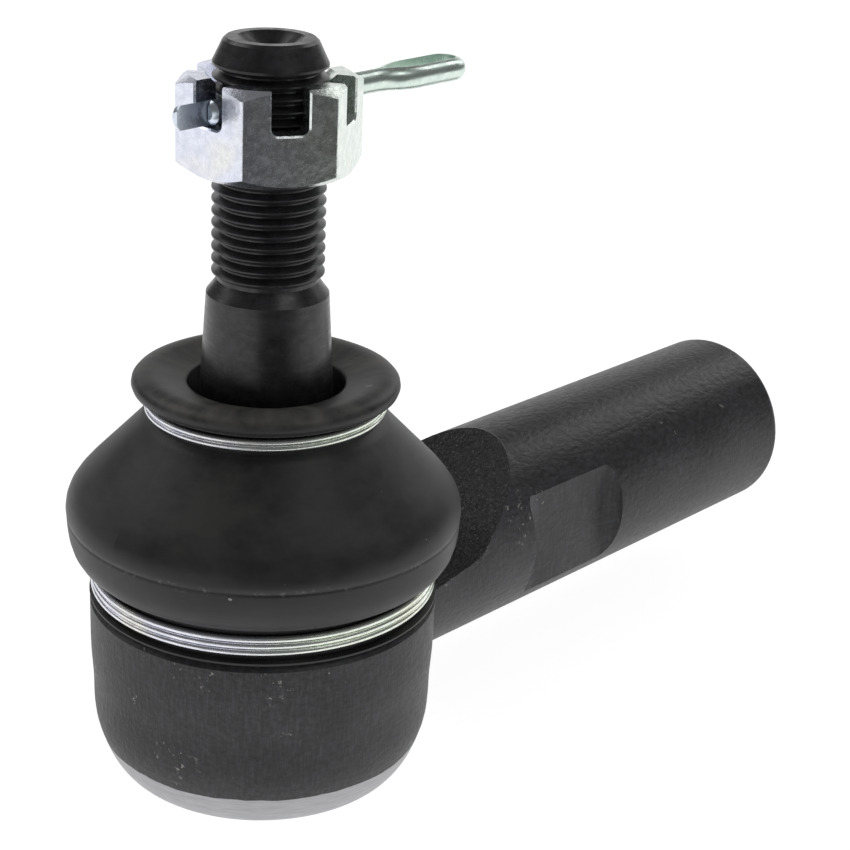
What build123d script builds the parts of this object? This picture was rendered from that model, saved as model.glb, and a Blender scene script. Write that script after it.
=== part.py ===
"""Outer tie rod end: forged socket with a threaded stem, ball stud, boot, castle nut and split pin.

Millimetres. The origin is the centre of the stem's open end, where the tie rod screws in.
+X points out of that end, +Z runs along the ball stud to its thread. The stud turns about a
ball centre that lies on the stem's axis, REACH behind the origin.
"""
from build123d import *
import math
import os

# ---------------------------------------------------------------- driving dimensions
REACH = 101.5            # ball centre to the stem's open end
STEM_R = 13.35           # stem radius
STEM_END_R = 1.6         # rounding at the stem's open end
FLAT_DEPTH = 2.25        # spanner flats on the stem, each side
FLATS_FROM = 40.0        # flats' start, from the ball centre
FLATS_LENGTH = 20.0
ROD_MINOR_R = 8.19       # M18 x 1.5 female thread, crest radius
ROD_MAJOR_R = 9.05
ROD_PITCH = 1.5
ROD_DEPTH = 45.0         # threaded length

BALL_R = 14.0
SEAT_WALL = 2.6          # ball seat between ball and socket bore
SOCKET_WALL = 5.8        # forging around the seats
SHOULDER = 3.5           # step from the socket's outside in to its neck
BODY_TOP = 3.4           # height of that step
NECK_RISE = 6.2          # neck above the step
BALL_FLAT = 1.8          # cut off the ball's bottom
CAP_THICK = 3.05
LIP_DEPTH = 2.25         # rolled lip under the end cap

SHANK_R = 7.2            # stud's neck above the ball
STUD_TOP = 75.2
TAPER_TOP = 43.8         # small end of the 1:8 taper
TAPER_SMALL_R = 7.6
TAPER_LOW = 26.5         # large end of the taper
STUD_R = 6.97            # M14 x 1.5 thread, crest radius
STUD_PITCH = 1.5

NUT_AF = 20.0
NUT_HEIGHT = 11.5
NUT_BELOW_TOP = 4.3      # nut's top face under the stud's end
NUT_CORNER = 0.55        # rounding of the six upright edges
NUT_BREAK = 0.22         # broken edge round each slot
SLOT_WIDTH = 4.5
SLOT_DEPTH = 5.2

PIN_R = 1.45             # split pin, nominal 3.2
PIN_HOLE_GAP = 0.15      # hole in the stud, larger in radius
PIN_OVER_SLOT = 0.35     # pin above the slot's floor
EYE_START = 17.5         # where the pin's two halves part, from the stud's axis
EYE_END = 33.6
EYE_HALF = 3.0           # half the eye's outside width
FLARE = 7.0              # length over which the two halves part
LONG_LEG = 14.6          # legs past the stud's axis
SHORT_LEG = 10.0

BOOT_BULGE = 2.8         # boot's widest ring outside the socket
BOOT_WALL = 1.7
BOOT_LIP_R = 16.9        # flange at the boot's mouth
BOOT_MOUTH = 6.9         # boot's top above the taper's large end
LOWER_WIRE_R = 0.42
LOWER_TURNS = 3
UPPER_WIRE_R = 0.38
UPPER_TURNS = 2

RUN = 0.05               # running clearance between ball, seats and socket
SEAL = 0.05              # boot lips on the metal they grip

# ---------------------------------------------------------------- sizes that follow
SOCKET_R = BALL_R + SEAT_WALL
BODY_R = SOCKET_R + SOCKET_WALL
NECK_R = BODY_R - SHOULDER
NECK_TOP = BODY_TOP + NECK_RISE
ball_flat = BALL_FLAT - BALL_R
seat_low = ball_flat - 2.0
cap_high = seat_low - 1.4
cap_low = cap_high - CAP_THICK
body_bottom = cap_low - LIP_DEPTH
nut_high = STUD_TOP - NUT_BELOW_TOP
nut_low = nut_high - NUT_HEIGHT
slot_z = nut_high - SLOT_DEPTH
pin_height = slot_z + PIN_R + PIN_OVER_SLOT
pin_hole_r = PIN_R + PIN_HOLE_GAP
BOOT_R = BODY_R + BOOT_BULGE
BOOT_TOP = TAPER_LOW + BOOT_MOUTH

os.makedirs("parts", exist_ok=True)


def turned(points):
    """Solid of revolution about Z from (radius, height) corners."""
    corners = [(r, 0, z) for r, z in points]
    return revolve(make_face(Polyline(*corners, close=True)), Axis.Z)


def turned_edges(*edges):
    """Solid of revolution about Z from a closed chain of edges in the XZ plane."""
    return revolve(make_face(Wire(list(edges))), Axis.Z)


def sphere_r(radius, z):
    return math.sqrt(radius ** 2 - z ** 2)


def ring_thread(crest_r, root_r, pitch, low, high):
    """(radius, height) zigzag of a ring thread, upwards from low, ending on a crest land."""
    land = pitch / 8
    slope = (pitch - 2 * land) / 2
    points = [(crest_r, low)]
    z = low
    while z + pitch + land < high:
        points += [(crest_r, z + land), (root_r, z + land + slope),
                   (root_r, z + 2 * land + slope), (crest_r, z + pitch)]
        z += pitch
    points.append((crest_r, high))
    return points


def put_out(part, name, label):
    """Move a part from the ball centre's frame to the row's frame and write it."""
    moved = Pos(-REACH, 0, 0) * part
    moved.label = label
    export_step(moved, "parts/" + name + ".step")


# ---------------------------------------------------------------- socket and stem
lip_r = SOCKET_R - 2.4   # rolled lip under the end cap
groove_r = SOCKET_R + 1.0
throat_r = SOCKET_R - 3.4
throat_z = NECK_TOP - 2.0
side_low = body_bottom + 4.9
side_high = BODY_TOP - 5.4

body_side = Spline((BODY_R - 1.2, 0, side_low), (BODY_R - 0.55, 0, side_low + 2.4),
                   (BODY_R - 0.3, 0, side_low + 7.5), (BODY_R, 0, side_high),
                   tangents=[(0.35, 0, 1), (0, 0, 1)])
lip_side = Spline((BODY_R - 4.8, 0, body_bottom), (BODY_R - 3.75, 0, body_bottom + 0.45),
                  (BODY_R - 2.3, 0, body_bottom + 2.3), (BODY_R - 1.2, 0, side_low),
                  tangents=[(1, 0, 0.05), (0.35, 0, 1)])
body_top = Polyline((BODY_R, 0, side_high), (BODY_R, 0, BODY_TOP - 0.7), (BODY_R - 0.7, 0, BODY_TOP),
                    (NECK_R, 0, BODY_TOP), (NECK_R - 0.6, 0, BODY_TOP + 0.6),
                    (NECK_R - 0.6, 0, BODY_TOP + 4.0), (NECK_R, 0, BODY_TOP + 4.6),
                    (NECK_R, 0, NECK_TOP - 0.7), (NECK_R - 0.7, 0, NECK_TOP), (0, 0, NECK_TOP),
                    (0, 0, body_bottom), (BODY_R - 4.8, 0, body_bottom))
body = turned_edges(*lip_side.edges(), *body_side.edges(), *body_top.edges())

stem = Plane.YZ * extrude(Circle(STEM_R), REACH)
stem = fillet(stem.edges().group_by(Axis.X)[-1], STEM_END_R)

# pocket in the stem's root that lets the boot lean over it
floor_r = BODY_R + 7.55
pocket = turned([(0, BODY_TOP - 2.6), (BODY_R, BODY_TOP - 2.4), (floor_r, BODY_TOP - 0.9),
                 (floor_r + 2.0, BODY_TOP - 0.1), (floor_r + 3.6, BODY_TOP + 1.4),
                 (floor_r + 14.6, 14.4), (floor_r + 14.6, 30), (0, 30)])
stem -= pocket

# spanner flats, with the cutter's radius left at the outer end
cut_r = 2.5
flat_y = STEM_R - FLAT_DEPTH
for side in (-1, 1):
    middle = side * (flat_y + 4)
    block = Pos(FLATS_FROM + FLATS_LENGTH / 2, middle, 0) * Box(FLATS_LENGTH, 8, 2 * STEM_R + 2)
    corners = [e for e in block.edges().filter_by(Axis.Z) if abs(abs(e.center().Y) - flat_y) < 0.1]
    corners.sort(key=lambda e: e.center().X)
    block = fillet(corners[-1], cut_r)
    first = [e for e in block.edges().filter_by(Axis.Z) if abs(e.center().X - FLATS_FROM) < 0.1]
    first = [e for e in first if abs(abs(e.center().Y) - flat_y) < 0.1]
    block = chamfer(first, 0.7)
    stem -= block

housing = body + stem
root = [e for e in housing.edges() if BODY_R - 3.2 < math.hypot(e.center().X, e.center().Y) < BODY_R + 1.5
        and e.center().X > 12 and e.center().Z < BODY_TOP - 4]
housing = fillet(root, 2.0)

cavity = turned([(0, body_bottom - 1), (lip_r + 0.5, body_bottom - 1), (lip_r + 0.5, body_bottom),
                 (lip_r, body_bottom + 0.5), (lip_r, cap_low), (groove_r, cap_low),
                 (groove_r, cap_high), (SOCKET_R, cap_high), (SOCKET_R, 1.0), (throat_r, throat_z),
                 (throat_r - 0.7, throat_z + 0.3), (throat_r + 0.5, NECK_TOP - 0.4),
                 (throat_r + 0.9, NECK_TOP), (throat_r + 0.9, NECK_TOP + 1), (0, NECK_TOP + 1)])
housing -= cavity

# female thread: crest lands at the minor radius, countersunk mouth, drill point
mouth = 0.4
thread_low = REACH - ROD_DEPTH
crest = ring_thread(ROD_MINOR_R, ROD_MAJOR_R, ROD_PITCH, 0, ROD_DEPTH - mouth)
profile = [(0, -4.9), (ROD_MINOR_R, 0)] + crest[1:]
profile += [(ROD_MAJOR_R + 0.25, ROD_DEPTH), (ROD_MAJOR_R + 0.25, ROD_DEPTH + 1), (0, ROD_DEPTH + 1)]
drill = turned(profile)
drill = Pos(thread_low, 0, 0) * Rot(0, 90, 0) * drill
housing -= drill

put_out(housing, "housing", "housing")

# ---------------------------------------------------------------- end cap, spring, seats
cap_r = groove_r - RUN
dish_r = groove_r - 7.0  # pressed dish in the middle of the cap
dish = 1.25
end_cap = turned([(0, cap_low - dish), (dish_r, cap_low - dish), (dish_r + 2.0, cap_low + RUN),
                  (cap_r, cap_low + RUN), (cap_r, cap_high - RUN), (dish_r + 1.8, cap_high - RUN),
                  (dish_r - 0.2, cap_high - 1.5), (0, cap_high - 1.5)])
put_out(end_cap, "end_cap", "end cap")

spring_out = SOCKET_R - 1.7
spring_in = spring_out - 6.9
leaf = 0.6
spring = turned([(spring_out, cap_high), (spring_out, cap_high + leaf),
                 (spring_in, seat_low - RUN), (spring_in, seat_low - RUN - leaf)])
put_out(spring, "preload_spring", "preload spring")


def seat(low, high, outer):
    """Half of the ball seat: the given outside, hollowed by the ball plus running clearance."""
    solid = turned([(0, low)] + outer + [(0, high)])
    return solid - Sphere(BALL_R + RUN)


seat_r = SOCKET_R - RUN
lower_seat = seat(seat_low, -0.1, [(seat_r - 3.95, seat_low), (seat_r - 2.55, seat_low + 0.5),
                                   (seat_r, seat_low + 2.2), (seat_r, -0.1)])
window_r = sphere_r(BALL_R, ball_flat) - 0.3
lower_seat -= Pos(0, 0, seat_low) * Cylinder(window_r, 6)
lean = (SOCKET_R - throat_r) / (throat_z - 1.0)
seat_top = throat_z - 0.3
upper_seat = seat(0.1, seat_top, [(seat_r, 0.1), (seat_r, 0.95),
                                  (SOCKET_R - lean * (seat_top - 1.0) - 0.07, seat_top)])
put_out(lower_seat, "lower_ball_seat", "lower ball seat")
put_out(upper_seat, "upper_ball_seat", "upper ball seat")

# ---------------------------------------------------------------- ball stud
neck_z = sphere_r(BALL_R, SHANK_R)


def taper_r(z):
    return TAPER_SMALL_R + (TAPER_TOP - z) / 16


ball_arc = ThreePointArc((sphere_r(BALL_R, ball_flat), 0, ball_flat), (BALL_R, 0, 0), (SHANK_R, 0, neck_z))
thread_low_z = TAPER_TOP + 2.2
thread_high_z = STUD_TOP - 2.9
root_r = STUD_R - 0.613 * STUD_PITCH
stud_line = [(SHANK_R, neck_z), (SHANK_R, neck_z + 5.6), (SHANK_R + 0.5, neck_z + 8.6),
             (taper_r(TAPER_LOW) - 0.25, TAPER_LOW - 1.3), (taper_r(TAPER_LOW), TAPER_LOW),
             (TAPER_SMALL_R, TAPER_TOP), (root_r + 0.25, TAPER_TOP + 1.7), (root_r + 0.25, thread_low_z)]
stud_line += ring_thread(STUD_R, root_r, STUD_PITCH, thread_low_z + 0.5, thread_high_z)
stud_line += [(5.75, STUD_TOP - 0.35), (5.35, STUD_TOP), (4.1, STUD_TOP), (3.7, STUD_TOP - 0.25),
              (1.6, STUD_TOP - 1.7), (0, STUD_TOP - 1.9), (0, ball_flat), (sphere_r(BALL_R, ball_flat), ball_flat)]
stud_shape = Polyline(*[(r, 0, z) for r, z in stud_line])
ball_stud = turned_edges(*ball_arc.edges(), *stud_shape.edges())
cross = Pos(0, 0, pin_height) * Rot(0, 90, 0) * Cylinder(pin_hole_r, 40)
ball_stud -= cross
put_out(ball_stud, "ball_stud", "ball stud")

# ---------------------------------------------------------------- castle nut
hexagon = RegularPolygon(NUT_AF / 2, 6, major_radius=False, rotation=30)
hexagon = fillet(hexagon.vertices(), NUT_CORNER)
blank = Pos(0, 0, nut_low) * extrude(hexagon, NUT_HEIGHT)
corner_r = NUT_AF / math.sqrt(3)
crown = turned([(0, nut_low), (corner_r - 1.9, nut_low), (corner_r + 0.2, nut_low + 1.4),
                (corner_r + 0.2, nut_high - 1.2), (corner_r - 1.75, nut_high), (0, nut_high)])
nut = blank & crown
nut_bore_r = STUD_R + 0.07
nut -= Pos(0, 0, nut_low + NUT_HEIGHT / 2) * Cylinder(nut_bore_r, NUT_HEIGHT + 2)
sink = 0.8
for height, turn in ((nut_low, 1), (nut_high, -1)):
    nut -= turned([(nut_bore_r - 0.5, height - turn), (nut_bore_r + sink + 0.6, height - turn),
                   (nut_bore_r + sink, height), (nut_bore_r, height + turn * sink),
                   (nut_bore_r - 0.5, height + turn * sink)])
for k in range(3):
    slot = Pos(0, 0, slot_z + 5) * Box(40, SLOT_WIDTH, 10)
    slot = fillet(slot.edges().filter_by(Axis.X).group_by(Axis.Z)[0], 0.9)
    nut -= Rot(0, 0, 60 * k) * slot
flat_edges = []
for edge in nut.edges():
    mid = edge.center()
    for k in range(6):
        turn = math.radians(60 * k)
        out = mid.X * math.cos(turn) + mid.Y * math.sin(turn)
        across = mid.Y * math.cos(turn) - mid.X * math.sin(turn)
        on_flat = abs(out - NUT_AF / 2) < 0.01 and abs(across) < SLOT_WIDTH / 2 + 0.01
        if on_flat and slot_z - 0.01 < mid.Z < nut_high - 0.5:
            flat_edges.append(edge)
nut = chamfer(flat_edges, NUT_BREAK)
put_out(nut, "castle_nut", "castle nut")

# ---------------------------------------------------------------- split pin
half_gap = 0.06


def half_disc(side):
    """Half-round section in the YZ plane, flat towards the other leg."""
    disc = Circle(PIN_R) & (Pos(side * (half_gap + PIN_R), 0) * Rectangle(2 * PIN_R, 4 * PIN_R))
    return disc


def half_wire(side, length, end_x):
    """One leg, running from the eye towards -X, with a rounded tip."""
    section = Plane(origin=(end_x, 0, 0), x_dir=(0, 1, 0), z_dir=(-1, 0, 0)) * half_disc(side)
    leg = extrude(section, length)
    tip = Pos(end_x - length + PIN_R * 1.15, 0, 0) * Sphere(PIN_R * 1.28)
    body = Pos(end_x - (length - PIN_R * 1.15) / 2, 0, 0) * Box(length - PIN_R * 1.15, 9, 9)
    return leg & (body + tip)


wire_t = PIN_R - half_gap
eye_in = EYE_HALF - wire_t            # half-width of the eye's opening
flare = (EYE_START, half_gap, 0)
flare_mid = (EYE_START + FLARE / 2, (half_gap + eye_in) / 2, 0)
wide = (EYE_START + FLARE, eye_in, 0)
bend = (EYE_END - wire_t - eye_in, eye_in, 0)
out_arc = TangentArc(flare, flare_mid, tangent=(1, 0, 0))
back_arc = TangentArc(flare_mid, wide, tangent=out_arc % 1)
near_side = [out_arc, back_arc, Line(wide, bend)]
far_side = [mirror(edge, about=Plane.XZ) for edge in near_side]
tip_arc = ThreePointArc(bend, (EYE_END - wire_t, 0, 0), (bend[0], -eye_in, 0))
path = Wire([*[e for part in near_side for e in part.edges()], *tip_arc.edges(),
             *[e for part in far_side for e in part.edges()]])
eye_section = Plane(origin=(EYE_START, 0, 0), x_dir=(0, 1, 0), z_dir=(1, 0, 0)) * half_disc(1)
eye = sweep(eye_section, path=path, transition=Transition.ROUND)
pin = half_wire(1, EYE_START + LONG_LEG, EYE_START) + half_wire(-1, EYE_START + SHORT_LEG, EYE_START) + eye
pin = Pos(0, 0, pin_height) * pin
put_out(pin, "cotter_pin", "cotter pin")

# ---------------------------------------------------------------- boot wire rings
def coil(radius, wire_r, turns, middle):
    """Close-wound spring ring about Z."""
    pitch = 2 * wire_r + 0.03
    height = pitch * turns
    low = middle - height / 2
    helix = Helix(pitch=pitch, height=height, radius=radius, center=(0, 0, low))
    start = Plane(origin=helix @ 0, z_dir=helix % 0)
    return sweep(start * Circle(wire_r), path=helix)


lower_ring_r = BODY_R - 0.55
lower_ring_z = BODY_TOP + 2.6
upper_ring_r = BOOT_LIP_R - 2.05
upper_ring_z = BOOT_TOP - 4.2
lower_ring = coil(lower_ring_r, LOWER_WIRE_R, LOWER_TURNS, lower_ring_z)
upper_ring = coil(upper_ring_r, UPPER_WIRE_R, UPPER_TURNS, upper_ring_z)
put_out(lower_ring, "lower_boot_ring", "lower boot ring")
put_out(upper_ring, "upper_boot_ring", "upper boot ring")

# ---------------------------------------------------------------- dust boot
low_seat_r = lower_ring_r - LOWER_WIRE_R - 0.02
up_seat_r = upper_ring_r - UPPER_WIRE_R - 0.02
bead_r = NECK_R - 0.6 + SEAL
low_half = LOWER_TURNS * LOWER_WIRE_R + 0.75
up_half = UPPER_TURNS * UPPER_WIRE_R + 0.55
foot_z = BODY_TOP + 0.1
seal_z = upper_ring_z - 1.0
groove_low = lower_ring_z - low_half
groove_high = lower_ring_z + low_half
mouth_low = upper_ring_z - up_half
mouth_high = upper_ring_z + up_half
roll_z = groove_high + 0.3            # the loose part of the boot runs from here
roll_rise = mouth_low - 0.2 - roll_z  # up to the upper groove


def roll(radius, share):
    """Point on the loose part of the boot, at a share of its height."""
    return (radius, 0, roll_z + share * roll_rise)


outer_low = Polyline((NECK_R + 0.05, 0, foot_z), (BODY_R - 0.05, 0, foot_z), (BODY_R + 0.1, 0, foot_z + 0.35),
                     (BODY_R + 0.1, 0, groove_low - 0.25), (low_seat_r, 0, groove_low),
                     (low_seat_r, 0, groove_high), roll(BODY_R - 0.2, 0))
outer_mid = Spline(roll(BODY_R - 0.2, 0), roll(BODY_R + 1.9, 0.06), roll(BOOT_R - 0.25, 0.2), roll(BOOT_R, 0.36),
                   roll(BOOT_R - 0.6, 0.475), roll(BOOT_R - 2.2, 0.59), roll(BOOT_R - 5.2, 0.75),
                   roll(up_seat_r + 2.35, 0.925), roll(up_seat_r + 0.85, 1),
                   tangents=[(1, 0, 0.55), (-0.25, 0, 1)])
outer_up = Polyline(roll(up_seat_r + 0.85, 1), (up_seat_r, 0, mouth_low + 0.15),
                    (up_seat_r, 0, mouth_high), (BOOT_LIP_R - 1.0, 0, mouth_high + 0.35))
flange = Spline((BOOT_LIP_R - 1.0, 0, mouth_high + 0.35), (BOOT_LIP_R, 0, mouth_high + 1.5),
                (BOOT_LIP_R - 0.9, 0, BOOT_TOP - 0.45), (BOOT_LIP_R - 2.2, 0, BOOT_TOP),
                (BOOT_LIP_R - 4.4, 0, BOOT_TOP - 0.75), (BOOT_LIP_R - 6.4, 0, BOOT_TOP - 1.1),
                tangents=[(1, 0, 0.8), (-0.6, 0, -0.4)])
seal_r = taper_r(seal_z) + SEAL
mouth_in = Polyline((BOOT_LIP_R - 6.4, 0, BOOT_TOP - 1.1), (BOOT_LIP_R - 7.1, 0, BOOT_TOP - 1.7),
                    (BOOT_LIP_R - 7.3, 0, BOOT_TOP - 2.6), (taper_r(seal_z + 2) + SEAL, 0, seal_z + 2),
                    (seal_r, 0, seal_z), (seal_r + 0.5, 0, seal_z - 0.9), (seal_r + 2.6, 0, seal_z - 0.9),
                    (up_seat_r - BOOT_WALL - 0.2, 0, seal_z - 1.2))
inner_mid = Spline((up_seat_r - BOOT_WALL - 0.2, 0, seal_z - 1.2), roll(up_seat_r + 0.65, 0.86),
                   roll(BOOT_R - BOOT_WALL - 6.3, 0.74), roll(BOOT_R - BOOT_WALL - 3.1, 0.61),
                   roll(BOOT_R - BOOT_WALL - 0.9, 0.48), roll(BOOT_R - BOOT_WALL, 0.345),
                   roll(BOOT_R - BOOT_WALL - 0.3, 0.22), (BODY_R - 0.3, 0, groove_high + 2.6),
                   (BODY_R - 2.5, 0, groove_high + 1.3), tangents=[(0.35, 0, -1), (-1, 0, -0.5)])
inner_low = Polyline((BODY_R - 2.5, 0, groove_high + 1.3), (NECK_R + 0.2, 0, groove_high + 0.9),
                     (NECK_R + SEAL, 0, BODY_TOP + 4.57), (bead_r, 0, BODY_TOP + 3.96),
                     (bead_r, 0, BODY_TOP + 0.6), (NECK_R + 0.05, 0, foot_z))
chain = []
for piece in (outer_low, outer_mid, outer_up, flange, mouth_in, inner_mid, inner_low):
    chain += piece.edges()
dust_boot = turned_edges(*chain)

# vents across the inner lip
for k in range(4):
    vent = Pos(BOOT_LIP_R - 6.6, 0, BOOT_TOP - 1.3) * Box(2.6, 1.5, 1.6)
    dust_boot -= Rot(0, 0, 45 + 90 * k) * vent
put_out(dust_boot, "dust_boot", "dust boot")
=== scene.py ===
import bpy
import math
from mathutils import Matrix, Vector


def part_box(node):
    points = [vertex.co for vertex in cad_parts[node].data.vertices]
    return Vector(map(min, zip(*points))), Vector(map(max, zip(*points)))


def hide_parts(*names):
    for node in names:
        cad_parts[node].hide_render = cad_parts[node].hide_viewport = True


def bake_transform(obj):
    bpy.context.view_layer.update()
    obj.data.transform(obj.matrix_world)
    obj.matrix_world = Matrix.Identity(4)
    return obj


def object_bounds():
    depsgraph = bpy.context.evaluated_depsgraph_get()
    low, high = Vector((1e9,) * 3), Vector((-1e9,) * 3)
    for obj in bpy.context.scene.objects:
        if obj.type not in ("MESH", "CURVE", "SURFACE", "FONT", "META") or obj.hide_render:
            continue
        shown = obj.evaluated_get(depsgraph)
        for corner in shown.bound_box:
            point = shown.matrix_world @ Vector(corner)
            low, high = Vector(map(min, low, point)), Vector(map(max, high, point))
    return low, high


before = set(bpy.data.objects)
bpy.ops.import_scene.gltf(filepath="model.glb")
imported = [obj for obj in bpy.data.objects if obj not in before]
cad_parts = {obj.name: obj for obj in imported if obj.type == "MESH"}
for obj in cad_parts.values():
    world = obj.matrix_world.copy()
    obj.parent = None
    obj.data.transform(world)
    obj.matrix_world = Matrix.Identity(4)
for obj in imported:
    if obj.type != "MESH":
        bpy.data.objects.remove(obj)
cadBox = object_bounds()

mm = 0.001
neckLow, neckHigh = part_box("ball_stud")
studX = (neckLow.x + neckHigh.x) / 2   # the stud's own axis, at rest
print("frame loaded, stud axis at x =", round(studX, 4))


# small helpers for node materials

def newMaterial(name):
    material = bpy.data.materials.new(name)
    material.use_nodes = True
    tree = material.node_tree
    tree.nodes.clear()
    out = tree.nodes.new("ShaderNodeOutputMaterial")
    shader = tree.nodes.new("ShaderNodeBsdfPrincipled")
    tree.links.new(shader.outputs["BSDF"], out.inputs["Surface"])
    return material, tree, shader


def addNode(tree, kind, **settings):
    node = tree.nodes.new("ShaderNode" + kind)
    for key, value in settings.items():
        setattr(node, key, value)
    return node


def objectPoint(tree, centre=(studX, 0, 0), scale=(1, 1, 1)):
    # object coordinates moved to a centre, then stretched
    coord = addNode(tree, "TexCoord")
    move = addNode(tree, "Mapping", vector_type="POINT")
    move.inputs["Location"].default_value = [-c * stretch for c, stretch in zip(centre, scale)]
    move.inputs["Scale"].default_value = scale
    tree.links.new(coord.outputs["Object"], move.inputs["Vector"])
    return move.outputs["Vector"]


def roundPoint(tree, across, along):
    # angle about the stud and height, as one point: streaks that follow a turned surface
    point = objectPoint(tree)
    split = addNode(tree, "SeparateXYZ")
    tree.links.new(point, split.inputs["Vector"])
    angle = addNode(tree, "Math", operation="ARCTAN2")
    tree.links.new(split.outputs["Y"], angle.inputs[0])
    tree.links.new(split.outputs["X"], angle.inputs[1])
    wide = addNode(tree, "Math", operation="MULTIPLY")
    wide.inputs[1].default_value = across
    tree.links.new(angle.outputs[0], wide.inputs[0])
    tall = addNode(tree, "Math", operation="MULTIPLY")
    tall.inputs[1].default_value = along
    tree.links.new(split.outputs["Z"], tall.inputs[0])
    joined = addNode(tree, "CombineXYZ")
    tree.links.new(wide.outputs[0], joined.inputs["X"])
    tree.links.new(tall.outputs[0], joined.inputs["Y"])
    return joined.outputs["Vector"]


def noise(tree, point, scale, detail=3.0, roughness=0.5):
    node = addNode(tree, "TexNoise", noise_dimensions="3D")
    node.inputs["Scale"].default_value = scale
    node.inputs["Detail"].default_value = detail
    node.inputs["Roughness"].default_value = roughness
    tree.links.new(point, node.inputs["Vector"])
    return node.outputs["Fac"]


def ramp(tree, value, stops):
    node = addNode(tree, "ValToRGB")
    band = node.color_ramp
    while len(band.elements) < len(stops):
        band.elements.new(0.5)
    for element, (place, colour) in zip(band.elements, stops):
        element.position = place
        element.color = colour
    tree.links.new(value, node.inputs["Fac"])
    return node.outputs["Color"]


def grey(level):
    return (level, level, level, 1)


def solid(colour):
    return (*colour, 1)


def blendColours(tree, share, first, second, kind="MIX"):
    node = addNode(tree, "Mix", data_type="RGBA", blend_type=kind)
    for name, sort, value in (("Factor", "VALUE", share), ("A", "RGBA", first), ("B", "RGBA", second)):
        target = [s for s in node.inputs if s.name == name and s.type == sort][0]
        if isinstance(value, (int, float, tuple)):
            target.default_value = value
        else:
            tree.links.new(value, target)
    return [s for s in node.outputs if s.type == "RGBA"][0]


def maths(tree, operation, first, second=None, third=None, clamp=False):
    node = addNode(tree, "Math", operation=operation, use_clamp=clamp)
    for i, value in enumerate((first, second, third)):
        if value is None:
            continue
        if isinstance(value, (int, float)):
            node.inputs[i].default_value = value
        else:
            tree.links.new(value, node.inputs[i])
    return node.outputs[0]


def between(tree, value, low, high, outLow=0.0, outHigh=1.0):
    node = addNode(tree, "MapRange", clamp=True)
    node.inputs["From Min"].default_value = low
    node.inputs["From Max"].default_value = high
    node.inputs["To Min"].default_value = outLow
    node.inputs["To Max"].default_value = outHigh
    tree.links.new(value, node.inputs["Value"])
    return node.outputs["Result"]


def bump(tree, shader, height, distance, strength=1.0, under=None):
    node = addNode(tree, "Bump")
    node.inputs["Strength"].default_value = strength
    node.inputs["Distance"].default_value = distance
    tree.links.new(height, node.inputs["Height"])
    if under is not None:
        tree.links.new(under, node.inputs["Normal"])
    tree.links.new(node.outputs["Normal"], shader.inputs["Normal"])


def dress(nodeName, material):
    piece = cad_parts[nodeName]
    piece.data.materials.clear()
    piece.data.materials.append(material)


# forging: black coat on rough steel, machined bare at the rolled lip

forging = {
    "coat": (0.021, 0.022, 0.024),
    "coatLight": (0.048, 0.048, 0.053),
    "chip": (0.50, 0.49, 0.45),
    "bareDull": (0.40, 0.40, 0.41),
    "bareBright": (0.50, 0.50, 0.515),
    "lipZ": -0.0160,          # coat ends here, the lip below is bare
    "lipEdge": 0.00004,       # half the width of that edge
    "boreRadius": 0.0093,     # the thread in the stem is bare inside this
    "boreFrom": -0.055,
    "shine": 0.42,
    "pocketGrit": 0.00030,
    "peel": 0.00010,
    "streaks": (3000, 3000, 420),        # die streaks and the peel's cells, each per metre along x, y, z
    "cells": (900, 1500, 1500),
    # chipped places: x, y, z and how far each reaches, in mm
    "chipSpots": [(-115.2, -17.7, -6.5, 1.9), (-117.6, -15.5, -6.3, 1.1), (-119.8, -12.9, -12.0, 1.8),
                  (-121.0, -11.0, 1.5, 2.6), (-122.7, -7.3, 1.7, 2.0), (-109.9, -20.8, 1.2, 1.8),
                  (-107.1, -21.7, 1.0, 1.4), (-123.9, -0.1, -4.1, 1.6), (-49.6, -11.2, 7.2, 0.9),
                  (-40.9, -10.3, 8.5, 0.8), (-42.3, -10.8, 7.8, 1.2), (-27.9, -9.5, 9.3, 0.8),
                  (-26.3, -11.1, 7.4, 0.7), (-13.0, -10.1, 8.7, 0.9), (-61.5, -11.4, 6.6, 0.9),
                  (-73.5, -12.7, 4.2, 1.3), (-61.6, -12.7, -4.1, 0.8), (-19.9, -11.6, 6.5, 0.6)],
    "flatRidgeHighlight": (-0.0612, -0.0578),      # painted highlight band on the ridge at the flats' inner end
    "flatShade": (-0.0455, -0.0405),     # painted shade band at their outer end
    "flatSide": 0.0114,                  # the flats lie inside this distance from the middle
    "flatEnd": -0.038,
    "ridgeHighlightTone": (0.13, 0.13, 0.14),
    "shadeTone": (0.008, 0.008, 0.009),
    # the pocket at the stem's root, by distance from the stud's axis
    "pocketFrom": (0.010, 0.014),        # it fades in this far towards the stem
    "pocketReach": 0.0447,
    "pocketFloor": (0.0224, 0.02995, 0.0010, 0.0025),   # between two distances, its two heights
    "pocketSlope": 0.8727,               # then it climbs as a cone
    "pocketKnee": (0.03355, 0.0048),     # a distance and height on that cone
}


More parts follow.
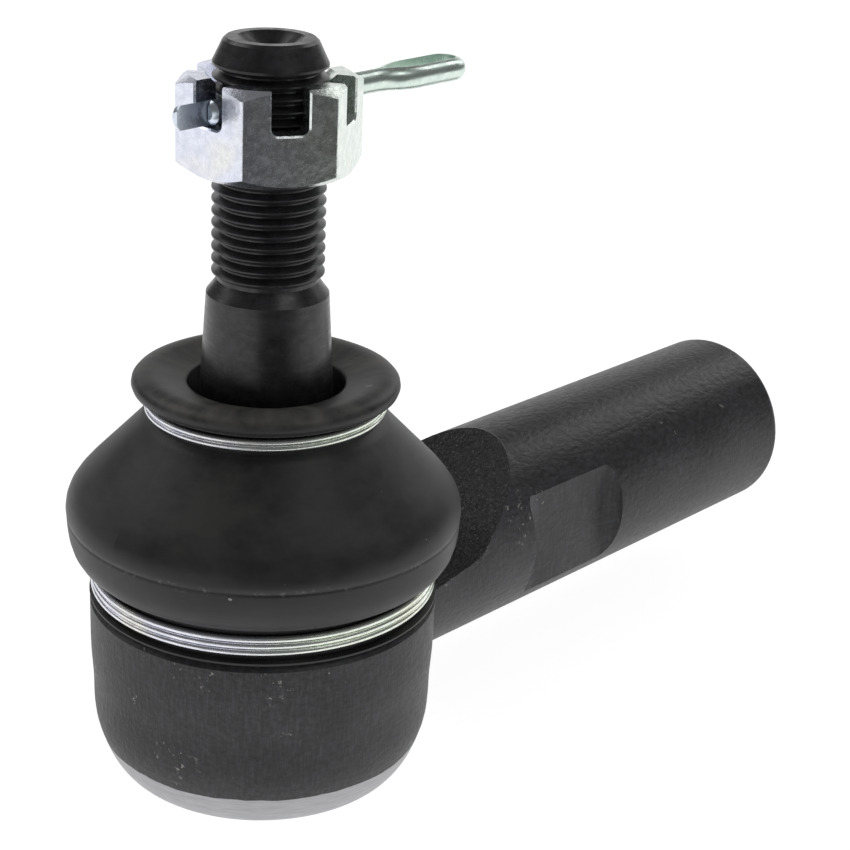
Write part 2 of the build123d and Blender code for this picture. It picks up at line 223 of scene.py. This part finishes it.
def pocketShare(tree, place, split):
    # the rough pocket at the stem's root: its surface is a known height at each distance from the stud
    level = addNode(tree, "CombineXYZ")
    tree.links.new(split.outputs["X"], level.inputs["X"])
    tree.links.new(split.outputs["Y"], level.inputs["Y"])
    lie = addNode(tree, "VectorMath", operation="DISTANCE")
    lie.inputs[1].default_value = (studX, 0, 0)
    tree.links.new(level.outputs["Vector"], lie.inputs[0])
    reach = lie.outputs["Value"]
    floorLine = between(tree, reach, *forging["pocketFloor"])
    kneeReach, kneeHeight = forging["pocketKnee"]
    slope = forging["pocketSlope"]
    coneLine = maths(tree, "MULTIPLY_ADD", reach, slope, kneeHeight - kneeReach * slope)
    over = maths(tree, "SUBTRACT", split.outputs["Z"], maths(tree, "MAXIMUM", floorLine, coneLine))
    near = maths(tree, "MULTIPLY", maths(tree, "LESS_THAN", reach, forging["pocketReach"]),
                 between(tree, split.outputs["X"], *(studX + far for far in forging["pocketFrom"])))
    pocket = maths(tree, "MULTIPLY", between(tree, over, -0.00022, -0.00008), near)
    edge = maths(tree, "MULTIPLY", between(tree, over, -0.00075, -0.00015), near)
    return pocket, maths(tree, "SUBTRACT", edge, pocket, clamp=True)


def forgingMaterial():
    material, tree, shader = newMaterial("forgedBlackCoat")
    place = objectPoint(tree, (0, 0, 0))
    split = addNode(tree, "SeparateXYZ")
    tree.links.new(place, split.inputs["Vector"])
    cloudy = noise(tree, place, 70.0, 4.0, 0.6)
    streak = noise(tree, objectPoint(tree, (0, 0, 0), forging["streaks"]), 1.0, 3.0, 0.65)
    # streaks of the die show on the sides, orange peel on top
    normal = addNode(tree, "NewGeometry")
    upSplit = addNode(tree, "SeparateXYZ")
    tree.links.new(normal.outputs["Normal"], upSplit.inputs["Vector"])
    sideShare = between(tree, upSplit.outputs["Z"], 0.80, 0.35)
    tone = blendColours(tree, between(tree, cloudy, 0.30, 0.72),
                        solid(forging["coat"]), solid(forging["coatLight"]))
    streaked = ramp(tree, streak, [(0.34, grey(0.74)), (0.5, grey(0.96)), (0.68, grey(1.42))])
    coat = blendColours(tree, sideShare, tone, blendColours(tree, 1.0, tone, streaked, "MULTIPLY"))
    # wrinkled coat reads as fine light and dark cells on top of the stem
    peel = noise(tree, objectPoint(tree, (0, 0, 0), forging["cells"]), 1.0, 2.0, 0.5)
    cells = ramp(tree, peel, [(0.35, grey(0.78)), (0.62, grey(1.30))])
    coat = blendColours(tree, 1.0, coat, cells, "MULTIPLY")
    # flats: painted highlight on the ridge where they start, painted shade where they run out
    onFlat = maths(tree, "LESS_THAN", maths(tree, "ABSOLUTE", split.outputs["Y"]), forging["flatSide"])
    onSide = maths(tree, "GREATER_THAN", maths(tree, "ABSOLUTE", upSplit.outputs["Y"]), 0.85)
    alongStem = maths(tree, "MULTIPLY_ADD", noise(tree, place, 300.0, 2.0), 0.0012, split.outputs["X"])
    # painted highlight: a lighter band on the raised ridge at the flats' inner end
    highlightLow, highlightHigh = forging["flatRidgeHighlight"]
    ridgeHighlight = maths(tree, "MULTIPLY", between(tree, alongStem, highlightLow, highlightLow + 0.0008),
                 between(tree, alongStem, highlightHigh, highlightHigh - 0.0014))
    ridgeHighlight = maths(tree, "MULTIPLY", ridgeHighlight, onSide)
    coat = blendColours(tree, maths(tree, "MULTIPLY", ridgeHighlight, 0.30), coat, solid(forging["ridgeHighlightTone"]))
    # painted shade: a darker band where the flats curve out at their outer end
    shade = between(tree, alongStem, *forging["flatShade"])
    shade = maths(tree, "MULTIPLY", maths(tree, "MULTIPLY", shade, maths(tree, "MULTIPLY", onFlat, onSide)),
                  maths(tree, "LESS_THAN", split.outputs["X"], forging["flatEnd"]))
    coat = blendColours(tree, maths(tree, "MULTIPLY", shade, 0.55), coat, solid(forging["shadeTone"]))
    # pocket: nearly black, coarse grit, with painted sparkle highlights on its grains
    pocket, edge = pocketShare(tree, place, split)
    gritSparkles = noise(tree, place, 2600.0, 2.0, 0.8)
    # the ramp's pale top paints sparkle highlights, its dark part is the grit's own tone
    gritAndSparkleTone = ramp(tree, gritSparkles, [(0.50, grey(0.010)), (0.64, grey(0.035)), (0.72, grey(0.30))])
    coat = blendColours(tree, pocket, coat, gritAndSparkleTone)
    # chips: a few groups of small ones, and worn spots along the pocket's edge
    chipNoise = noise(tree, place, 1100.0, 3.0, 0.7)
    groups = between(tree, noise(tree, place, 75.0, 1.0), 0.66, 0.74)
    worn = maths(tree, "MULTIPLY", edge, between(tree, noise(tree, place, 160.0, 1.0), 0.42, 0.56))
    where = maths(tree, "MAXIMUM", groups, worn)
    for x, y, z, far in forging["chipSpots"]:
        gap = addNode(tree, "VectorMath", operation="DISTANCE")
        gap.inputs[1].default_value = (x * mm, y * mm, z * mm)
        tree.links.new(place, gap.inputs[0])
        chipped = between(tree, gap.outputs["Value"], far * mm, far * mm * 0.4)
        where = maths(tree, "MAXIMUM", where, chipped)
    chips = maths(tree, "MULTIPLY", between(tree, chipNoise, 0.61, 0.68), where)
    coat = blendColours(tree, maths(tree, "MULTIPLY", chips, 0.70), coat, solid(forging["chip"]))
    # bare lip, with a slightly uneven edge
    waver = maths(tree, "MULTIPLY_ADD", noise(tree, place, 260.0, 3.0), 0.0007, -0.00035)
    height = maths(tree, "ADD", split.outputs["Z"], waver)
    lip = between(tree, height, forging["lipZ"] + forging["lipEdge"], forging["lipZ"] - forging["lipEdge"])
    turned = noise(tree, roundPoint(tree, 6.0, 2600.0), 1.0, 3.0)
    bareTone = blendColours(tree, between(tree, turned, 0.3, 0.7),
                            solid(forging["bareDull"]), solid(forging["bareBright"]))
    # inside of the threaded hole is bare too
    flat = addNode(tree, "CombineXYZ")
    tree.links.new(split.outputs["Y"], flat.inputs["Y"])
    tree.links.new(split.outputs["Z"], flat.inputs["Z"])
    away = addNode(tree, "VectorMath", operation="LENGTH")
    tree.links.new(flat.outputs["Vector"], away.inputs[0])
    inside = maths(tree, "LESS_THAN", away.outputs["Value"], forging["boreRadius"])
    outward = maths(tree, "GREATER_THAN", split.outputs["X"], forging["boreFrom"])
    bore = maths(tree, "MULTIPLY", inside, outward)
    bare = maths(tree, "MAXIMUM", lip, bore)
    tree.links.new(blendColours(tree, bare, coat, bareTone), shader.inputs["Base Color"])
    tree.links.new(maths(tree, "MULTIPLY", bare, 0.55), shader.inputs["Metallic"])
    rough = between(tree, peel, 0.3, 0.7, 0.32, 0.46)
    rough = maths(tree, "ADD", rough, maths(tree, "MULTIPLY", sideShare, 0.10))
    rough = maths(tree, "MAXIMUM", rough, maths(tree, "MULTIPLY", bare, 0.50))
    tree.links.new(rough, shader.inputs["Roughness"])
    # skin: peel on top, die streaks on the sides, coarse grit in the pocket
    grit = noise(tree, place, 1500.0, 2.0, 0.7)
    skin = maths(tree, "MULTIPLY_ADD", maths(tree, "MULTIPLY", streak, sideShare), 0.5, peel)
    skin = maths(tree, "MULTIPLY", skin, maths(tree, "SUBTRACT", 1.0, bare))
    smoothSkin = maths(tree, "MULTIPLY", skin, maths(tree, "SUBTRACT", 1.0, pocket))
    under = addNode(tree, "Bump")
    under.inputs["Distance"].default_value = forging["pocketGrit"]
    tree.links.new(maths(tree, "MULTIPLY", grit, pocket), under.inputs["Height"])
    bump(tree, shader, smoothSkin, forging["peel"], 1.0, under.outputs["Normal"])
    shader.inputs["Specular IOR Level"].default_value = forging["shine"]
    return material


dress("housing", forgingMaterial())
print("forging done")


# bare steel pieces

capLook = {"tone": (0.48, 0.475, 0.46), "rough": 0.38}
springLook = {"tone": (0.24, 0.25, 0.29), "rough": 0.32}


def bareSteelMaterial(name, look):
    material, tree, shader = newMaterial(name)
    turned = noise(tree, roundPoint(tree, 4.0, 2600.0), 1.0, 3.0, 0.6)
    spots = noise(tree, objectPoint(tree, (0, 0, 0)), 240.0, 3.0, 0.6)
    dark = tuple(c * 0.72 for c in look["tone"])
    tone = blendColours(tree, between(tree, spots, 0.35, 0.7), solid(dark), solid(look["tone"]))
    tree.links.new(tone, shader.inputs["Base Color"])
    shader.inputs["Metallic"].default_value = 1.0
    rough = between(tree, turned, 0.3, 0.7, look["rough"] - 0.07, look["rough"] + 0.08)
    tree.links.new(rough, shader.inputs["Roughness"])
    bump(tree, shader, turned, 0.00003, 0.6)
    return material


dress("end_cap", bareSteelMaterial("pressedCapSteel", capLook))
dress("preload_spring", bareSteelMaterial("blueSpringSteel", springLook))


# ball seats, pale plastic

seatLook = {
    "tone": (0.66, 0.63, 0.55),
    "toneLight": (0.76, 0.73, 0.65),
    "rough": (0.35, 0.5),
}


def seatMaterial():
    material, tree, shader = newMaterial("seatPolymer")
    place = objectPoint(tree, (0, 0, 0))
    mottle = noise(tree, place, 400.0, 3.0)
    tone = ramp(tree, mottle, [(0.3, solid(seatLook["tone"])), (0.7, solid(seatLook["toneLight"]))])
    tree.links.new(tone, shader.inputs["Base Color"])
    tree.links.new(between(tree, mottle, 0.3, 0.7, *seatLook["rough"]), shader.inputs["Roughness"])
    bump(tree, shader, mottle, 0.00003, 0.5)
    return material


seats = seatMaterial()
dress("lower_ball_seat", seats)
dress("upper_ball_seat", seats)


# stud: black phosphate, and a ground ball inside the socket

studLook = {
    "phosphate": (0.016, 0.016, 0.018),
    "phosphateLight": (0.040, 0.041, 0.045),
    "ballTone": (0.50, 0.50, 0.51),
    "ballTop": (0.0155, 0.0150),     # the ground ball and shank end here, under the boot
    "rough": (0.24, 0.38),
    "ballRough": 0.14,
    "shine": 0.75,
}


def studMaterial():
    material, tree, shader = newMaterial("phosphatedStud")
    place = objectPoint(tree, (0, 0, 0))
    split = addNode(tree, "SeparateXYZ")
    tree.links.new(place, split.inputs["Vector"])
    mottle = noise(tree, place, 700.0, 4.0, 0.6)
    worn = noise(tree, roundPoint(tree, 3.0, 1800.0), 1.0, 3.0, 0.6)
    tone = blendColours(tree, between(tree, mottle, 0.35, 0.7),
                        solid(studLook["phosphate"]), solid(studLook["phosphateLight"]))
    bright = between(tree, split.outputs["Z"], *studLook["ballTop"])
    tone = blendColours(tree, bright, tone, solid(studLook["ballTone"]))
    tree.links.new(tone, shader.inputs["Base Color"])
    tree.links.new(maths(tree, "MAXIMUM", bright, 0.35), shader.inputs["Metallic"])
    rough = between(tree, worn, 0.3, 0.7, *studLook["rough"])
    rough = blendColours(tree, bright, rough, grey(studLook["ballRough"]))
    tree.links.new(rough, shader.inputs["Roughness"])
    bump(tree, shader, maths(tree, "ADD", mottle, worn), 0.00002, 0.5)
    shader.inputs["Specular IOR Level"].default_value = studLook["shine"]
    return material


dress("ball_stud", studMaterial())
print("steel pieces done")


# zinc: nut, pin and the boot's wire rings

nutLook = {
    "pale": (0.90, 0.91, 0.93),
    "dull": (0.80, 0.82, 0.85),
    "rough": 0.24,
    "mottle": 900.0,          # spots per metre
    "grain": 0.00009,         # height of the skin's grain
}
pinLook = {
    "pale": (0.86, 0.92, 0.92),
    "dull": (0.72, 0.80, 0.81),
    "rough": 0.28,
    "mottle": 700.0,
    "grain": 0.00002,
}
wireLook = {
    "pale": (0.95, 0.95, 0.93),
    "dull": (0.84, 0.84, 0.83),
    "rough": 0.26,
    "mottle": 600.0,
    "grain": 0.00001,
}
zincLook = {
    "filmBlue": (0.93, 0.94, 1.04),
    "filmGreen": (0.97, 1.03, 0.94),
    "filmYellow": (1.04, 1.01, 0.86),
    "pore": (0.35, 0.36, 0.38),
}


def zincMaterial(name, look):
    material, tree, shader = newMaterial(name)
    place = objectPoint(tree)
    mottle = noise(tree, place, look["mottle"], 5.0, 0.68)
    tone = blendColours(tree, between(tree, mottle, 0.40, 0.62), solid(look["dull"]), solid(look["pale"]))
    # passivation film: lavender on one side, greenish on the other, some straw yellow
    split = addNode(tree, "SeparateXYZ")
    tree.links.new(place, split.inputs["Vector"])
    lie = maths(tree, "SUBTRACT", split.outputs["X"], split.outputs["Y"])
    film = blendColours(tree, between(tree, lie, -0.006, 0.010),
                        solid(zincLook["filmBlue"]), solid(zincLook["filmGreen"]))
    straw = between(tree, noise(tree, place, 120.0, 2.0), 0.54, 0.72)
    film = blendColours(tree, maths(tree, "MULTIPLY", straw, 0.5), film, solid(zincLook["filmYellow"]))
    tone = blendColours(tree, 1.0, tone, film, "MULTIPLY")
    # fine dark pores
    pores = between(tree, noise(tree, place, look["mottle"] * 2.5, 2.0, 0.7), 0.70, 0.76)
    tone = blendColours(tree, maths(tree, "MULTIPLY", pores, 0.3), tone, solid(zincLook["pore"]))
    tree.links.new(tone, shader.inputs["Base Color"])
    shader.inputs["Metallic"].default_value = 1.0
    rough = between(tree, mottle, 0.35, 0.65, look["rough"] + 0.08, look["rough"] - 0.04)
    tree.links.new(rough, shader.inputs["Roughness"])
    bump(tree, shader, mottle, look["grain"], 0.6)
    return material


dress("castle_nut", zincMaterial("zincNut", nutLook))
dress("cotter_pin", zincMaterial("zincPin", pinLook))
wireZinc = zincMaterial("zincWire", wireLook)
dress("lower_boot_ring", wireZinc)
dress("upper_boot_ring", wireZinc)
print("zinc pieces done")


# boot, moulded rubber, turned from one closed outline

bootSizes = {
    "steps": 128,
    "blendLow": 0.0095,       # lower of two blend heights on the boot
    "blendHigh": 0.0265,      # upper of two blend heights on the boot
    "ringGrips": (0.84, 0.77),           # lower and upper ring stand this much proud of the rubber, in mm
    "rubber": (0.014, 0.014, 0.015),
    "rubberLight": (0.026, 0.026, 0.028),
    "dust": (0.125, 0.120, 0.110),
    "lint": (0.30, 0.30, 0.29),
    "rubbed": (0.16, 0.16, 0.15),
    "flangeDust": (0.0285, 0.0305),      # dust gathers on the flange above these heights
    "partingLine": (0.0138, 0.0145, 0.0148, 0.0152),   # it fades in and out between these heights
    "rough": (0.40, 0.54),
    "shine": 0.45,
}


def bootOutline():
    # closed outline as (radius, height) from the stud's axis, in mm
    lowBox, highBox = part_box("dust_boot")
    widest = (highBox.x - lowBox.x) / 2 / mm
    foot = lowBox.z / mm
    lowerGrip, upperGrip = bootSizes["ringGrips"]
    ringSeat = (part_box("lower_boot_ring")[1].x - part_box("lower_boot_ring")[0].x) / 2 / mm - lowerGrip
    neckSeat = (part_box("upper_boot_ring")[1].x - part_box("upper_boot_ring")[0].x) / 2 / mm - upperGrip
    footBand = [(18.95, foot), (22.2, foot), (22.45, foot + 0.25), (22.45, foot + 0.45),
                (ringSeat, foot + 0.55), (ringSeat, foot + 4.45), (22.2, foot + 4.8)]
    belly = [(23.1, 8.75), (23.9, 9.5), (24.5, 10.5), (24.85, 11.7), (25.04, 13.0), (25.12, 14.1),
             (25.12, 14.35), (25.06, 14.47), (25.06, 14.6), (25.16, 14.75), (widest, 15.4), (25.08, 16.4)]
    cone = [(24.7, 17.4), (24.0, 18.45), (23.0, 19.6), (21.6, 21.05), (20.0, 22.7), (18.2, 24.55),
            (16.8, 26.0), (15.9, 26.95), (15.4, 27.55), (14.7, 27.85), (neckSeat, 28.1)]
    flange = [(neckSeat, 30.3), (15.3, 30.5), (16.15, 30.9), (16.65, 31.35), (16.85, 31.9), (16.75, 32.45),
              (16.35, 32.9), (15.6, 33.25), (14.7, 33.4), (13.7, 33.3), (12.5, 32.95), (11.3, 32.6),
              (10.4, 32.35), (10.0, 32.15), (9.85, 31.8), (9.75, 30.6)]
    inside = [(8.63, 28.2), (9.1, 27.35), (11.2, 27.3), (12.55, 27.0), (15.1, 24.9), (17.6, 22.7),
              (20.9, 19.4), (22.6, 17.3), (23.5, 15.0), (23.2, 12.6), (22.1, 10.6), (19.9, 9.3),
              (19.1, 8.9), (18.95, 7.97), (18.35, 7.36), (18.35, 4.0)]
    return footBand + belly + cone + flange + inside


def spinOutline(name, outline, steps):
    # the outline as a ring of edges in the XZ plane, spun about the stud's axis
    bpy.ops.object.select_all(action="DESELECT")
    bpy.ops.mesh.primitive_circle_add(vertices=len(outline), radius=0.01, location=(0, 0, 0))
    piece = bpy.context.object
    piece.name = name
    for vertex, (radius, height) in zip(piece.data.vertices, outline):
        vertex.co = (studX + radius * mm, 0, height * mm)
    bpy.ops.object.mode_set(mode="EDIT")
    bpy.ops.mesh.select_all(action="SELECT")
    bpy.ops.mesh.spin(steps=steps, angle=2 * math.pi, center=(studX, 0, 0), axis=(0, 0, 1))
    bpy.ops.mesh.select_all(action="SELECT")
    bpy.ops.mesh.remove_doubles(threshold=0.000002)
    bpy.ops.mesh.normals_make_consistent(inside=False)
    bpy.ops.object.mode_set(mode="OBJECT")
    bpy.ops.object.shade_smooth_by_angle(angle=math.radians(50))
    return piece


def rubberMaterial():
    material, tree, shader = newMaterial("bootRubber")
    place = objectPoint(tree, (0, 0, 0))
    split = addNode(tree, "SeparateXYZ")
    tree.links.new(place, split.inputs["Vector"])
    cloudy = noise(tree, place, 70.0, 4.0, 0.6)
    dust = noise(tree, roundPoint(tree, 1.6, 150.0), 1.0, 4.0, 0.65)
    tone = blendColours(tree, between(tree, cloudy, 0.35, 0.7),
                        solid(bootSizes["rubber"]), solid(bootSizes["rubberLight"]))
    normal = addNode(tree, "NewGeometry")
    upSplit = addNode(tree, "SeparateXYZ")
    tree.links.new(normal.outputs["Normal"], upSplit.inputs["Vector"])
    up = between(tree, upSplit.outputs["Z"], -0.2, 0.9)
    bloom = maths(tree, "MULTIPLY", up, between(tree, dust, 0.42, 0.62))
    flange = between(tree, split.outputs["Z"], *bootSizes["flangeDust"], 0.35, 1.0)
    bloom = maths(tree, "MULTIPLY", bloom, flange)
    tone = blendColours(tree, bloom, tone, solid(bootSizes["dust"]))
    # a few lint specks
    speck = noise(tree, place, 620.0, 1.0, 0.5)
    specks = between(tree, speck, 0.815, 0.825)
    tone = blendColours(tree, specks, tone, solid(bootSizes["lint"]))
    # rubbed, dusty places on the parting line
    startLow, startHigh, endLow, endHigh = bootSizes["partingLine"]
    line = maths(tree, "MULTIPLY", between(tree, split.outputs["Z"], startLow, startHigh),
                 between(tree, split.outputs["Z"], endHigh, endLow))
    rubbed = between(tree, noise(tree, place, 900.0, 3.0, 0.7), 0.56, 0.66)
    tone = blendColours(tree, maths(tree, "MULTIPLY", maths(tree, "MULTIPLY", line, rubbed), 0.45), tone,
                        solid(bootSizes["rubbed"]))
    tree.links.new(tone, shader.inputs["Base Color"])
    tree.links.new(between(tree, dust, 0.3, 0.7, *bootSizes["rough"]), shader.inputs["Roughness"])
    fine = noise(tree, place, 1600.0, 2.0, 0.5)
    bump(tree, shader, fine, 0.00002, 0.5)
    shader.inputs["Specular IOR Level"].default_value = bootSizes["shine"]
    return material


boot = spinOutline("rubber_boot", bootOutline(), bootSizes["steps"])
boot.data.materials.append(rubberMaterial())
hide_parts("dust_boot")
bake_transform(boot)
print("boot done")


# floor, light and camera

stageLook = {
    "floorSize": 8.0,
    "floorGlow": 0.90,        # the pale table is lit from below, as a light table
    "floorTone": 0.45,
    "roomTone": 0.13,
    "darkTowards": math.radians(262),   # unlit side of the room, seen only in mirror images
    "darkTone": 0.04,
    "darkFade": (0.72, 0.90),           # cosine of the angle off that side, from pale to dark
    "aim": Vector((-0.08, 0, 0.02)),
    # where each light stands round and above the part in degrees, how far, its size and its glow
    "lights": {
        "backLeftBox": (110, 45, 0.9, (0.5, 0.5), 1.6),
        "backRightBox": (0, 35, 0.9, (0.35, 0.5), 1.6),
        "frontRightBox": (-80, 58, 0.9, (0.4, 0.4), 1.3),
        "backWall": (41, 14, 1.2, (1.6, 0.5), 0.8),
    },
}


def makeFloor():
    bpy.ops.object.select_all(action="DESELECT")
    bpy.ops.mesh.primitive_plane_add(size=stageLook["floorSize"], location=(studX, 0, cadBox[0].z))
    floor = bpy.context.object
    floor.name = "floor"
    material = bpy.data.materials.new("paleTable")
    material.use_nodes = True
    tree = material.node_tree
    tree.nodes.clear()
    out = tree.nodes.new("ShaderNodeOutputMaterial")
    matt = addNode(tree, "BsdfDiffuse")
    matt.inputs["Color"].default_value = grey(stageLook["floorTone"])
    glow = addNode(tree, "Emission")
    glow.inputs["Strength"].default_value = stageLook["floorGlow"]
    pale = addNode(tree, "AddShader")
    tree.links.new(matt.outputs[0], pale.inputs[0])
    tree.links.new(glow.outputs[0], pale.inputs[1])
    # what polished pieces mirror: bright behind and at the sides, dark in front
    way = addNode(tree, "VectorMath", operation="NORMALIZE")
    tree.links.new(objectPoint(tree), way.inputs[0])
    lie = addNode(tree, "VectorMath", operation="DOT_PRODUCT")
    towards = stageLook["darkTowards"]
    lie.inputs[1].default_value = (math.cos(towards), math.sin(towards), 0)
    tree.links.new(way.outputs["Vector"], lie.inputs[0])
    mirror = addNode(tree, "Emission")
    level = between(tree, lie.outputs["Value"], *stageLook["darkFade"], 1.0, stageLook["darkTone"])
    tree.links.new(level, mirror.inputs["Strength"])
    ray = addNode(tree, "LightPath")
    both = addNode(tree, "MixShader")
    tree.links.new(ray.outputs["Is Glossy Ray"], both.inputs["Fac"])
    tree.links.new(pale.outputs[0], both.inputs[1])
    tree.links.new(mirror.outputs[0], both.inputs[2])
    tree.links.new(both.outputs[0], out.inputs["Surface"])
    floor.data.materials.append(material)


def softLight(name, azimuth, elevation, distance, size, glow):
    around, above = math.radians(azimuth), math.radians(elevation)
    out = Vector((math.cos(around) * math.cos(above), math.sin(around) * math.cos(above), math.sin(above)))
    place = stageLook["aim"] + distance * out
    bpy.ops.object.light_add(type="AREA", location=place)
    lamp = bpy.context.object
    lamp.name = name
    lamp.data.shape = "RECTANGLE"
    lamp.data.size, lamp.data.size_y = size
    lamp.data.energy = glow * math.pi * size[0] * size[1]
    lamp.rotation_mode = "QUATERNION"
    lamp.rotation_quaternion = (stageLook["aim"] - place).to_track_quat("-Z", "Y")
    lamp.visible_camera = False


def setWorld(level):
    world = bpy.data.worlds.new("paleRoom")
    bpy.context.scene.world = world
    world.use_nodes = True
    tree = world.node_tree
    back = tree.nodes["Background"]
    back.inputs["Color"].default_value = (1, 1, 1, 1)
    # the room lights the part dimly, its far wall is plain white
    ray = addNode(tree, "LightPath")
    tree.links.new(between(tree, ray.outputs["Is Camera Ray"], 0, 1, level, 1.0), back.inputs["Strength"])


makeFloor()
setWorld(stageLook["roomTone"])
for lightName, setting in stageLook["lights"].items():
    softLight(lightName, *setting)

cameraSet = {
    "place": Vector((-0.26898, -0.17486, 0.12457)),
    "right": Vector((0.67434, -0.73724, 0.04190)),
    "up": Vector((0.25085, 0.28208, 0.92601)),
    "forward": Vector((0.69451, 0.61394, -0.37515)),
    "lens": 87.36,
    "sensor": 36.0,
    "clip": (0.01, 20),
}


def makeCamera():
    bpy.ops.object.camera_add(location=cameraSet["place"])
    camera = bpy.context.object
    camera.name = "mainCamera"
    turn = Matrix((cameraSet["right"], cameraSet["up"], -cameraSet["forward"])).transposed()
    camera.rotation_mode = "QUATERNION"
    camera.rotation_quaternion = turn.to_quaternion()
    camera.data.lens = cameraSet["lens"]
    camera.data.sensor_width = cameraSet["sensor"]
    camera.data.clip_start, camera.data.clip_end = cameraSet["clip"]
    bpy.context.scene.camera = camera


makeCamera()
bpy.context.scene.view_settings.view_transform = "Standard"
print("stage done")
